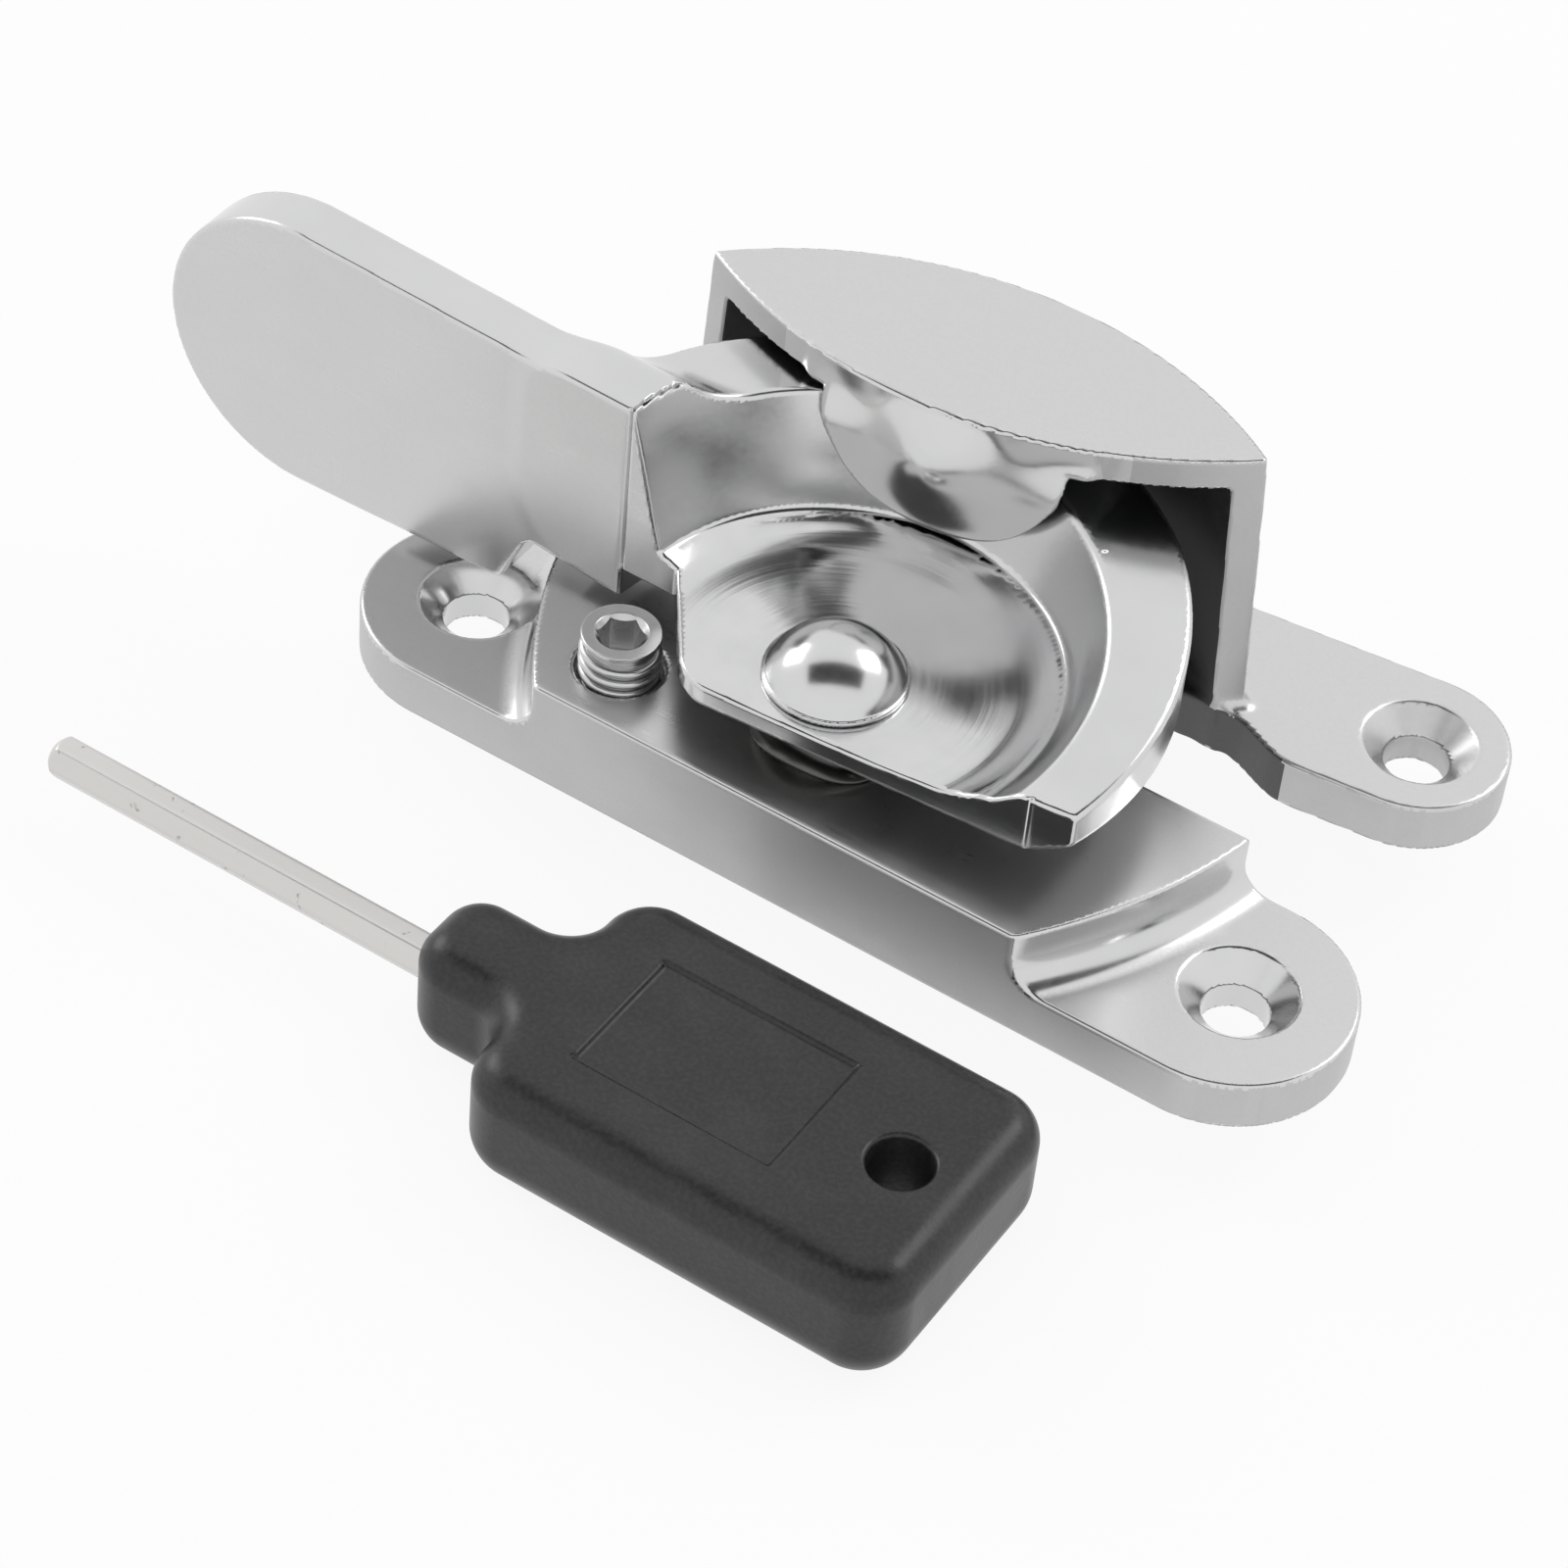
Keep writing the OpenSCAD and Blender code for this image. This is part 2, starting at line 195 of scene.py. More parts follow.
# Base: half length to the ends' centres, ends, holes, the block with its curved ends, and the
# recess for the rivet's tail
BASE_HALF, BASE_R, BASE_HOLES = 25.9, 7.5, 26.5
BLOCK_H, BLOCK_X = 7.2, -0.8
BLOCK_FRONT, BLOCK_BACK, END_R = 16.4, 23.3, 36.0
BLOCK_COVE = 1.9
TAIL_R, TAIL_Z = 3.7, 1.4

# Lock screw: place from the pivot, thread with its ridge's radius, and socket
LOCK = (-12.8, -2.85)
LOCK_R, LOCK_TOP, LOCK_LEN = 2.5, 9.85, 6.0
THREAD_PITCH, THREAD_LEN, RIDGE_R = 0.8, 4.7, 0.32
HEX, SOCKET_DEEP, SOCKET_LEAD = 2.5, 2.6, 1.62
CORE_IN, CROWN_IN, CROWN_H = 0.4, 0.1, 0.35

# Cam: heights and radii of its underside, its dish and the climbing rim (low, high)
BOSS_Z, GROOVE_Z, POCKET_Z = 8.45, 10.0, 10.95
BOSS_R, GROOVE_R, UNDER_RISE = 10.2, 15.8, 1.75
FLOOR_Z, LIP_Z = 11.6, 12.7
FLOOR_R, LEDGE_R, DISH_R, CREST_R = 3.5, 10.2, 12.8, 15.1
BOWL_STEP = 0.35
RIM_R, RIM_Z = (18.4, 20.4), (14.0, 20.3)
RIM_START, RIM_SPAN = -18, 168
SWELL_START, SWELL_SPAN = -15, 65

# Cam: distances from the pivot and directions of its three cut sides
FLAT_D, FLAT_TURN = 5.1, math.radians(4)
FLANK_D, FLANK_TURN = 8.95, math.radians(215.8)
CORNER_D, CORNER_TURN = 7.55, math.radians(245)

# Lever: front face, thickness, reach, end, lower edge, heel and the neck over the block
LEVER_Y, LEVER_T = 1.2, 3.7
LEVER_REACH, TIP_R, LEVER_Z = 49.2, 9.6, 4.0
LEVER_DROP, LEVER_ROOT, HEEL_X, NECK_X = 1.5, -12, -24.4, -11.5
LEVER_COVE, EDGE_RISE, HEEL_LEAN = 4.2, 0.4, 1.8

# Rivet: shank, dome and the collar under it
RIVET_R, DOME_R, DOME_H = 2.5, 4.15, 2.7
COLLAR_R, COLLAR_H = 4.3, 0.3

# Keep, in its own frame: ears, the notch between them, and the hood's front and back arcs
KEEP_TURN = math.radians(6.6)
KEEP_Y, KEEP_HALF, KEEP_R, KEEP_HOLES = 21.1, 28.95, 5.8, 29.25
NOTCH_X, NOTCH_Y, NOTCH_R = 17.4, 14.4, 3.1
HOOD_Z, HOOD_T, HOOD_WALL = 23.0, 2.1, 2.0
FRONT_Y, FRONT_R = 41.4, 29.7
BACK_Y, BACK_R, BACK_LEAN = -2.7, 27.1, 1.6

# Lip: outline, face, and the swelling in its middle with a shallow dent on each side
LIP_R, LIP_TOP, LIP_FACE, LIP_BOW = 10.0, 23.3, 11.3, 120
LIP_DEEP, LIP_TUCK, LIP_HALF = 9, 0.5, 12
BULGE, BULGE_HALF = 1.15, 2.8
DENT, DENT_X, DENT_HALF = 0.15, 5, 2.0

# Key: where its axis enters the handle, the grip's (length, width, thickness), the neck's
# (length, width), and the half (length, width) of the sunk panel and the raised bar
KEY = (-13.1, -22.3, -0.8)
GRIP, GRIP_CORNER, GRIP_TOP_R = (28.6, 18.2, 8.8), 3.2, 2.2
NECK, NECK_MIDDLE, NECK_HALF, NECK_CORNER = (7.5, 6.8), 6, 3.4, 2.6
PANEL, PANEL_BACK, PANEL_DEEP = (6.5, 4.5), 2.8, 0.25
BAR, BAR_BACK = (0.25, 4.3), 9.4
HANG_HOLE_R, HANG_HOLE_IN = 1.9, 5
ROD_LEN, ROD_IN, ROD_END_R = 27.5, 14, 0.95

# Spring washer: thickness and inner radius
SPRING_T, SPRING_IN = 0.3, 2.7


def base_form(x, y, z):
    """Two rounded ears and a block between them, whose ends are cut along large arcs."""
    outline = np.hypot(np.maximum(np.abs(x) - BASE_HALF, 0), y) - BASE_R
    half = math.hypot(BLOCK_BACK - BLOCK_FRONT, 2 * BASE_R) / 2
    along = np.array([BLOCK_BACK - BLOCK_FRONT, 2 * BASE_R]) / (2 * half)
    middle = np.array([(BLOCK_FRONT + BLOCK_BACK) / 2, 0.0])
    centre = middle - math.sqrt(END_R ** 2 - half ** 2) * np.array([along[1], -along[0]])
    ends = np.hypot(np.abs(x - BLOCK_X) - centre[0], y - centre[1]) - END_R
    block = meet(ends, z - BLOCK_H, 0.22)
    body = meet(join(z - EAR_T, block, BLOCK_COVE), outline, 0.28)
    body = meet(body, -z, 0.15)
    for s in (-1, 1):
        body = cut(body, bore(x, y, z, (s * BASE_HOLES, 0), HOLE_R, EAR_T, SINK_R), 0.1)
    lock_hole = bore(x, y, z, (PIVOT_X + LOCK[0], LOCK[1]), LOCK_R + 0.05, BLOCK_H, LOCK_R + 0.35)
    body = cut(body, lock_hole, 0.06)
    rho = np.hypot(x - PIVOT_X, y)
    return cut(body, join(rho - RIVET_R, meet(rho - TAIL_R, z - TAIL_Z)))


def rim_height(turn):
    """Height of the rim's crest, which climbs round to the lever."""
    u = np.clip((turn - RIM_START) / RIM_SPAN, 0, 1)
    return RIM_Z[0] + (RIM_Z[1] - RIM_Z[0]) * np.sin(math.pi / 2 * u)


def cam_form(x, y, z):
    """Dished cam, climbing rim and lever blade in one casting, about the pivot."""
    x = x - PIVOT_X
    rho = np.hypot(x, y)
    turn = np.degrees(np.arctan2(y, x))
    turn = np.where(turn < -90, turn + 360, turn)
    crest = rim_height(turn)
    outer = RIM_R[0] + (RIM_R[1] - RIM_R[0]) * np.clip((turn - SWELL_START) / SWELL_SPAN, 0, 1)
    under = GROOVE_Z + 0.15 + np.maximum(rho - GROOVE_R, 0) * (UNDER_RISE / (outer - GROOVE_R))
    disc = meet(rho - outer, z - crest, 0.4)
    disc = meet(disc, (under - z) * 0.85, 0.4)
    tip_x, tip_z = -LEVER_REACH + TIP_R, LEVER_Z + TIP_R
    tip = np.hypot(x - tip_x, z - tip_z) - TIP_R
    top = z - (tip_z + TIP_R) + LEVER_DROP * np.clip((x - tip_x) / (LEVER_ROOT - tip_x), 0, 1)
    bottom = LEVER_Z + EDGE_RISE * np.clip((x - tip_x) / (HEEL_X - tip_x), 0, 1)
    heel = x - HEEL_X - HEEL_LEAN * np.clip((z - bottom) / (BOSS_Z - bottom), 0, 1)
    heel = meet(heel, bottom - z, 0.5)
    neck = np.maximum(BOSS_Z - z, x - NECK_X)
    side = np.maximum(top, join(heel, neck, 0.6))
    side = np.where(x < tip_x, tip, side)
    blade = meet(np.abs(y - LEVER_Y - LEVER_T / 2) - LEVER_T / 2, side, 0.45)
    mass = join(disc, blade, LEVER_COVE)
    mass = np.maximum(mass, cam_underside(z, rho))
    lift = 0.5 * np.clip((rho - FLOOR_R) / (DISH_R - FLOOR_R), 0, 1) ** 2
    lift = lift + 0.5 * np.clip((rho - LEDGE_R) / (DISH_R - LEDGE_R), 0, 1) ** 2
    dish = meet(z - LIP_Z, z - FLOOR_Z - (LIP_Z - FLOOR_Z) * lift, 0.15)
    flare = (CREST_R - DISH_R - BOWL_STEP) / (crest - LIP_Z)
    wall = (rho - (DISH_R + BOWL_STEP) - (z - LIP_Z) * flare) / np.sqrt(1 + flare ** 2)
    bowl = meet(wall, -dish, 0.5)
    mass = cut(mass, bowl, 0.3)
    flank = x * math.cos(FLANK_TURN) + y * math.sin(FLANK_TURN) - FLANK_D
    corner = x * math.cos(CORNER_TURN) + y * math.sin(CORNER_TURN) - CORNER_D
    flank = meet(flank, corner, 0.4)
    clear = meet(meet(-flank, y - LEVER_Y), x - 10)
    mass = cut(mass, clear, 0.3)
    front = x * math.sin(FLAT_TURN) - y * math.cos(FLAT_TURN) - FLAT_D
    mass = meet(mass, front, 0.25)
    mass = cut(mass, rho - RIVET_R - 0.05)
    pocket = np.hypot(x + LOCK[0], y + LOCK[1]) - LOCK_R - 0.3
    return cut(mass, meet(pocket, z - POCKET_Z))


def cam_underside(z, rho):
    """Underside of the cam: on the washer, then above the lock screw's circle."""
    boss = meet(rho - BOSS_R, BOSS_Z - z)
    groove = meet(rho - GROOVE_R, GROOVE_Z - z)
    beyond = np.maximum(GROOVE_R - rho, LEVER_Z - z)
    return np.minimum(np.minimum(boss, groove), beyond)


def keep_place(x, y):
    """X and Y in the keep's own frame, which is turned a little about the pivot."""
    c, s = math.cos(KEEP_TURN), math.sin(KEEP_TURN)
    return (x - PIVOT_X) * c + y * s, y * c - (x - PIVOT_X) * s


def hood_front(x, y):
    """Front of the hood, an upright arc that bulges towards the pivot."""
    return np.hypot(x, y - FRONT_Y) - FRONT_R


def hood_back(x, y, z):
    """Back of the hood, an arc that bulges away from the pivot and leans out to its foot."""
    return np.hypot(x, y - BACK_Y) - (BACK_R + BACK_LEAN * (HOOD_Z - z) / HOOD_Z)


def hood_hollow(x, y, z):
    """Space behind the hood's front, inside its back wall and under its top."""
    return meet(hood_back(x, y, z) + HOOD_WALL, z - (HOOD_Z - HOOD_T), 0.35)


def lip_form(x, y, z):
    """Rounded lip under the hood's front edge, with a thumb-like swelling in its middle."""
    flare = (CREST_R - DISH_R) / (RIM_Z[1] - LIP_Z)
    inside = (np.hypot(x, y) - (DISH_R - 0.3) - (z - LIP_Z) * flare) / math.sqrt(1 + flare ** 2)
    inside = np.minimum(inside, meet(RIM_Z[1] + 0.4 - z, np.abs(x) - LIP_HALF))
    down = np.clip((HOOD_Z - 0.3 - z) / LIP_DEEP, 0, 1)
    edge = FRONT_Y - np.sqrt(np.maximum(FRONT_R ** 2 - x ** 2, 0))
    spread = np.sin(math.pi / 2 * np.clip(down / 0.5, 0, 1)) ** 2
    ripple = np.exp(-(x / BULGE_HALF) ** 2)
    ripple = ripple - DENT * np.exp(-((np.abs(x) - DENT_X) / DENT_HALF) ** 2)
    swell = BULGE * ripple * np.sin(math.pi * down * (1.6 - 0.6 * down))
    face = edge - spread * np.maximum(edge - LIP_FACE - x ** 2 / LIP_BOW, 0) - swell
    face = face + LIP_TUCK * down ** 3 - y
    outline = np.hypot(x, z - LIP_TOP) - LIP_R
    lip = meet(meet(outline, face, 1.0), inside, 0.5)
    return np.maximum(np.maximum(lip, z - HOOD_Z + 0.1), hood_back(x, y, z) + 0.5)


def keep_form(x, y, z):
    """Hood on two ears, with a lip that hangs inside the cam's rim."""
    x, y = keep_place(x, y)
    ears = np.hypot(np.maximum(np.abs(x) - KEEP_HALF, 0), y - KEEP_Y) - KEEP_R
    notch = np.hypot(np.maximum(np.abs(x) - NOTCH_X, 0), np.maximum(y - NOTCH_Y, 0)) - NOTCH_R
    ears = cut(ears, notch, NOTCH_R)
    plate = meet(ears, z - EAR_T, 0.28)
    hood = meet(hood_front(x, y), hood_back(x, y, z), 0.25)
    hood = cut(hood, hood_hollow(x, y, z), 0.15)
    hood = join(hood, lip_form(x, y, z), 0.12)
    hood = meet(hood, z - HOOD_Z, 0.22)
    body = meet(join(hood, plate, 0.9), -z, 0.15)
    for s in (-1, 1):
        body = cut(body, bore(x, y, z, (s * KEEP_HOLES, KEEP_Y), HOLE_R, EAR_T, SINK_R), 0.1)
    return body


def handle_form(x, y, z):
    """Moulded grip with a soft neck, a sunk panel, a raised bar and a hanging hole."""
    x, y, z = x - KEY[0], y - KEY[1], z - KEY[2]
    middle = NECK[0] + GRIP[0] / 2
    grip = rounded(x - middle, y, GRIP[0] / 2 - GRIP_CORNER, GRIP[1] / 2 - GRIP_CORNER, GRIP_CORNER)
    neck = rounded(x - NECK_MIDDLE, y, NECK_HALF, NECK[1] / 2 - NECK_CORNER, NECK_CORNER)
    outline = join(grip, neck, 2.4)
    body = meet(meet(outline, z - GRIP[2] / 2, GRIP_TOP_R), -z - GRIP[2] / 2, GRIP_CORNER)
    panel = np.maximum(np.abs(x - middle + PANEL_BACK) - PANEL[0], np.abs(y) - PANEL[1])
    body = cut(body, meet(panel, GRIP[2] / 2 - PANEL_DEEP - z, 0.15), 0.2)
    bar = meet(np.abs(x - middle + BAR_BACK) - BAR[0], np.abs(y) - BAR[1], 0.2)
    body = join(body, meet(bar, np.abs(z - GRIP[2] / 2 + 0.4) - 0.4, 0.15), 0.2)
    body = cut(body, np.hypot(x - NECK[0] - GRIP[0] + HANG_HOLE_IN, y) - HANG_HOLE_R, 0.35)
    return cut(body, meet(hexagon(z, y, HEX), x - ROD_IN))


def shank_form(x, y, z):
    """Hexagonal rod with softened corners and a chamfered end."""
    x, y, z = x - KEY[0], y - KEY[1], z - KEY[2]
    rho = np.hypot(y, z)
    bar = meet(hexagon(z, y, HEX - 0.04), rho - 1.37, 0.05)
    end = -x - ROD_LEN + np.maximum(rho - ROD_END_R, 0)
    return meet(meet(bar, end, 0.1), x - ROD_IN + 0.1)


def screw_form(x, y, z):
    """Core of the grub screw, with a crown on top and a hexagonal socket."""
    x, y = x - PIVOT_X - LOCK[0], y - LOCK[1]
    rho = np.hypot(x, y)
    top = LOCK_TOP - z
    low = z - LOCK_TOP + LOCK_LEN
    body = meet(meet(rho - LOCK_R + CORE_IN, -top, 0.08), -low, 0.08)
    crown = meet(rho - LOCK_R + CROWN_IN, meet(-top, top - CROWN_H, 0.08), 0.1)
    body = np.minimum(body, crown)
    socket = meet(hexagon(x, y, HEX + 0.05), LOCK_TOP - SOCKET_DEEP - z)
    lead = (rho - SOCKET_LEAD + top) * math.sqrt(0.5)
    return cut(body, np.minimum(socket, lead), 0.03)


def rivet_form(x, y, z):
    """Domed rivet on a low collar, with its tail spread in the base's recess."""
    rho = np.hypot(x - PIVOT_X, y)
    floor = FLOOR_Z + 0.05
    seat = floor + COLLAR_H
    ball = (DOME_R ** 2 + DOME_H ** 2) / (2 * DOME_H)
    dome = meet(np.sqrt(rho ** 2 + (z - seat - DOME_H + ball) ** 2) - ball, seat - z, 0.12)
    collar = meet(rho - COLLAR_R, np.maximum(z - seat - 0.05, floor - z), 0.1)
    dome = join(dome, collar, 0.1)
    shank = np.maximum(rho - RIVET_R, np.maximum(z - seat - 0.5, 0.1 - z))
    tail = np.maximum(rho - TAIL_R, np.maximum(z - TAIL_Z, 0.1 - z))
    return np.minimum(dome, np.minimum(shank, tail))


# Shader maths

class Wire:
    """A socket in a node tree, with Python's operators."""

    def __init__(self, maker, out):
        self.maker, self.out = maker, out

    def _math(self, kind, a, b):
        return self.maker.node("ShaderNodeMath", {"operation": kind}, [a, b])

    def __add__(self, other):
        return self._math("ADD", self, other)

    def __radd__(self, other):
        return self._math("ADD", other, self)

    def __sub__(self, other):
        return self._math("SUBTRACT", self, other)

    def __rsub__(self, other):
        return self._math("SUBTRACT", other, self)

    def __mul__(self, other):
        return self._math("MULTIPLY", self, other)

    def __rmul__(self, other):
        return self._math("MULTIPLY", other, self)

    def above(self, level):
        return self._math("GREATER_THAN", self, level)


def grey(level):
    return (level, level, level, 1)


class Finish:
    """A material and the nodes in it."""

    def __init__(self, name):
        self.material = bpy.data.materials.new(name)
        self.material.use_nodes = True
        self.tree = self.material.node_tree
        self.shader = self.tree.nodes["Principled BSDF"]
        self.place = self.node("ShaderNodeTexCoord", {}, {}, out="Object")

    def node(self, kind, settings, inputs, out=0):
        """Adds a node: its settings first, then a value or a wire for each socket."""
        made = self.tree.nodes.new(kind)
        for key, value in settings.items():
            if key == "stops":
                ramp = made.color_ramp
                while len(ramp.elements) < len(value):
                    ramp.elements.new(1.0)
                for element, (position, level) in zip(ramp.elements, value):
                    element.position = position
                    element.color = grey(level)
            else:
                setattr(made, key, value)
        pairs = inputs.items() if isinstance(inputs, dict) else enumerate(inputs)
        for key, value in pairs:
            self.feed(made.inputs[key], value)
        return Wire(self, made.outputs[out])

    def feed(self, socket, value):
        if isinstance(value, Wire):
            self.tree.links.new(value.out, socket)
        else:
            socket.default_value = value

    def set(self, **values):
        for key, value in values.items():
            self.feed(self.shader.inputs[key.replace("_", " ")], value)

    def noise(self, size, detail=3.0, stretch=(1, 1, 1), rough=0.5):
        """Noise whose features are about size millimetres across."""
        spread = self.node("ShaderNodeMapping", {}, {"Vector": self.place, "Scale": stretch})
        return self.node("ShaderNodeTexNoise", {"noise_dimensions": "3D"}, {
            "Vector": spread, "Scale": 1 / (size * MM), "Detail": detail, "Roughness": rough})

    def radius(self, x, y):
        """Distance from the upright line through x and y, which are in millimetres."""
        flat = self.node("ShaderNodeVectorMath", {"operation": "MULTIPLY_ADD"},
                         [self.place, (1, 1, 0), (-x * MM, -y * MM, 0)])
        return self.node("ShaderNodeVectorMath", {"operation": "LENGTH"}, [flat], out="Value")

    def ramp(self, wire, *stops):
        return self.node("ShaderNodeValToRGB", {"stops": stops}, [wire])

    def blend(self, factor, a, b):
        mix = self.tree.nodes.new("ShaderNodeMix")
        mix.data_type = "RGBA"
        self.feed(mix.inputs[0], factor)
        self.feed(mix.inputs[6], a)
        self.feed(mix.inputs[7], b)
        return Wire(self, mix.outputs[2])

    def bump(self, height, strength, distance):
        return self.node("ShaderNodeBump", {}, {
            "Strength": strength, "Distance": distance * MM, "Height": height}, out="Normal")


def polished(name, tone, gloss):
    """Plated and buffed metal: slightly cloudy gloss with hairlines from the mop."""
    f = Finish(name)
    cloud = f.ramp(f.noise(6.0, 4.0), (0.3, 0), (0.75, 1))
    hair = f.noise(0.35, 2.0, (0.04, 1, 1)) + f.noise(0.3, 2.0, (1, 0.05, 1))
    f.set(Base_Color=f.blend(cloud, grey(tone), (tone * 0.94, tone * 0.94, tone * 0.95, 1)),
          Metallic=1.0,
          Roughness=gloss + 0.05 * cloud + 0.05 * hair,
          Normal=f.bump(hair, 0.05, 0.02))
    return f.material


def brushed(name, tone, gloss, grain):
    """Linished flat: fine lines along the piece over a faint cast grain."""
    f = Finish(name)
    lines = f.noise(0.28, 3.0, (0.06, 1, 1))
    speckle = f.noise(0.22, 2.0)
    wide = f.ramp(f.noise(4.0, 3.0), (0.35, 0), (0.7, 1))
    f.set(Base_Color=f.blend(speckle, grey(tone * 0.93), grey(tone)), Metallic=1.0,
          Roughness=gloss + 0.08 * lines + 0.05 * wide,
          Normal=f.bump(lines + speckle * grain, 0.07, 0.03))
    return f.material


def turned_dish():
    """Polished dish with the fine rings that its cutter left, about the pivot."""
    f = Finish("turned_dish")
    rings = f.node("ShaderNodeTexNoise", {"noise_dimensions": "1D"},
                   {"W": f.radius(PIVOT_X, 0), "Scale": 1 / (0.35 * MM), "Detail": 3.0})
    cloud = f.ramp(f.noise(3.5, 4.0), (0.35, 0), (0.75, 1))
    f.set(Base_Color=f.blend(cloud, grey(0.67), (0.62, 0.62, 0.63, 1)), Metallic=1.0,
          Roughness=0.08 + 0.06 * rings + 0.05 * cloud, Normal=f.bump(rings, 0.12, 0.03))
    return f.material


def grainy_metal_and_shade(name, level):
    """Grainy rough metal at tone level: the cam's unpolished underside, and at a low tone painted
    shade.
    """
    f = Finish(name)
    grain = f.noise(0.5, 4.0)
    f.set(Base_Color=f.blend(grain, grey(level * 0.6), grey(level)), Metallic=1.0,
          Roughness=0.5 + 0.2 * grain, Normal=f.bump(grain, 0.4, 0.08))
    return f.material


def painted_hood_shade():
    """Painted shade: near-black metal inside the hood's hollow, up to the ground front edge of its
    walls, which keeps a plain metal tone.
    """
    f = Finish("hood_inside_painted_shade")
    grain = f.noise(0.5, 4.0)
    x, y = PIVOT_X - FRONT_Y * math.sin(KEEP_TURN), FRONT_Y * math.cos(KEEP_TURN)
    ground = f.radius(x, y).above((FRONT_R - 0.12) * MM)
    # Painted shade: near-black metal for the hollow, plain metal on the ground front edge
    dark = f.blend(grain, grey(0.06), grey(0.1))
    f.set(Base_Color=f.blend(ground, dark, grey(0.6)), Metallic=1.0,
          Roughness=0.5 + 0.2 * grain, Normal=f.bump(grain, 0.3, 0.06))
    return f.material


def black_plastic():
    """Moulded charcoal plastic: fine spark texture, rubbed patches and faint dust."""
    f = Finish("black_plastic")
    grain = f.noise(0.3, 3.0)
    swell = f.noise(2.5, 3.0)
    rub = f.ramp(f.noise(5.0, 5.0, (1, 1, 1), 0.65), (0.45, 0), (0.75, 1))
    fleck = f.ramp(grain, (0.4, 0), (0.65, 1))
    colour = f.blend(0.45 * rub + 0.4 * fleck, (0.017, 0.017, 0.0175, 1), (0.047, 0.047, 0.048, 1))
    f.set(Base_Color=colour, Roughness=0.27 + 0.1 * rub + 0.08 * grain,
          Normal=f.bump(grain + swell * 1.5, 0.2, 0.06))
    f.shader.inputs["Specular IOR Level"].default_value = 0.45
    return f.material


def drawn_steel(name, tone):
    """Drawn rod: lengthwise die lines and dark specks where the plating wore through."""
    f = Finish(name)
    lines = f.noise(0.3, 3.0, (0.03, 1, 1))
    specks = f.ramp(f.noise(0.8, 4.0), (0.66, 0), (0.72, 1))
    colour = f.blend(0.7 * specks, (tone, tone * 0.985, tone * 0.96, 1), (0.3, 0.29, 0.28, 1))
    f.set(Base_Color=colour, Metallic=1.0, Roughness=0.26 + 0.12 * lines + 0.25 * specks,
          Normal=f.bump(lines - specks * 0.6, 0.15, 0.03))
    return f.material


chrome = polished("polished_metal", 0.67, 0.12)
satin = brushed("satin_metal", 0.65, 0.24, 0.5)
linished = brushed("linished_metal", 0.6, 0.42, 1.4)
dish_metal = turned_dish()
# Painted shade inside the hood's hollow
hood_shade = painted_hood_shade()
under_skin = grainy_metal_and_shade("cam_underside", 0.62)
# Painted shade: a dark copy of the grainy metal on the foot of the keep's front
neck_shade = grainy_metal_and_shade("neck_side_painted_shade", 0.2)
screw_steel = polished("screw_steel", 0.62, 0.16)
spring_steel = drawn_steel("spring_steel", 0.12)
rod_steel = drawn_steel("rod_steel", 0.66)
plastic = black_plastic()


def finish_piece(thing, material, body, node):
    """One material to begin with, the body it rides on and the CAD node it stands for."""
    thing.data.materials.clear()
    thing.data.materials.append(material)
    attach(thing, body)
    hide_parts(node)
    return thing


def reface(thing, material, rule):
    """Gives the material to the faces whose centre, in millimetres, and normal pass the rule."""
    mesh = thing.data
    count = len(mesh.polygons)
    centre, normal = np.empty(3 * count), np.empty(3 * count)
    slots = np.empty(count, dtype=np.int32)
    mesh.polygons.foreach_get("center", centre)
    mesh.polygons.foreach_get("normal", normal)
    mesh.polygons.foreach_get("material_index", slots)
    centre = centre.reshape(-1, 3) / MM
    slots[rule(*centre.T, normal.reshape(-1, 3))] = len(mesh.materials)
    mesh.materials.append(material)
    mesh.polygons.foreach_set("material_index", slots)


# Geometry nodes, for what follows a path

def grow(name, inputs, build, material, place):
    """Mesh of a geometry node group with named inputs, set down at place in millimetres."""
    group = bpy.data.node_groups.new(name, "GeometryNodeTree")
    group.interface.new_socket("Geometry", in_out="OUTPUT", socket_type="NodeSocketGeometry")
    for key, value in inputs.items():
        given = group.interface.new_socket(key, in_out="INPUT", socket_type="NodeSocketFloat")
        given.default_value = value
    given = group.nodes.new("NodeGroupInput").outputs

    def node(kind, settings, sockets, out=0):
        made = group.nodes.new(kind)
        for key, value in settings.items():
            setattr(made, key, value)
        for key, value in sockets.items():
            if isinstance(value, bpy.types.NodeSocket):
                group.links.new(value, made.inputs[key])
            else:
                made.inputs[key].default_value = value
        return made.outputs[out]

    shape = node("GeometryNodeRealizeInstances", {}, {0: build(node, given)})
    shape = node("GeometryNodeSetMaterial", {}, {0: shape, "Material": material})
    group.links.new(shape, group.nodes.new("NodeGroupOutput").inputs[0])
    thing = bpy.data.objects.new(name, bpy.data.meshes.new(name))
    bpy.context.scene.collection.objects.link(thing)
    grower = thing.modifiers.new(name, "NODES")
    grower.node_group = group
    seen = thing.evaluated_get(bpy.context.evaluated_depsgraph_get())
    mesh = bpy.data.meshes.new_from_object(seen)
    thing.modifiers.remove(grower)
    mesh.transform(Matrix.Translation(Vector(place) * MM))
    thing.data = mesh
    return thing


def ridge_path(node, given):
    """Helical ridge: a spiral with a round profile swept along it."""
    spiral = node("GeometryNodeCurveSpiral", {}, {
        "Resolution": 48, "Rotations": given["Turns"], "Start Radius": given["Radius"],
        "End Radius": given["Radius"], "Height": given["Height"]})
    profile = node("GeometryNodeCurvePrimitiveCircle", {}, {
        "Resolution": 12, "Radius": given["Ridge"]})
    return node("GeometryNodeCurveToMesh", {}, {
        "Curve": spiral, "Profile Curve": profile, "Fill Caps": True})


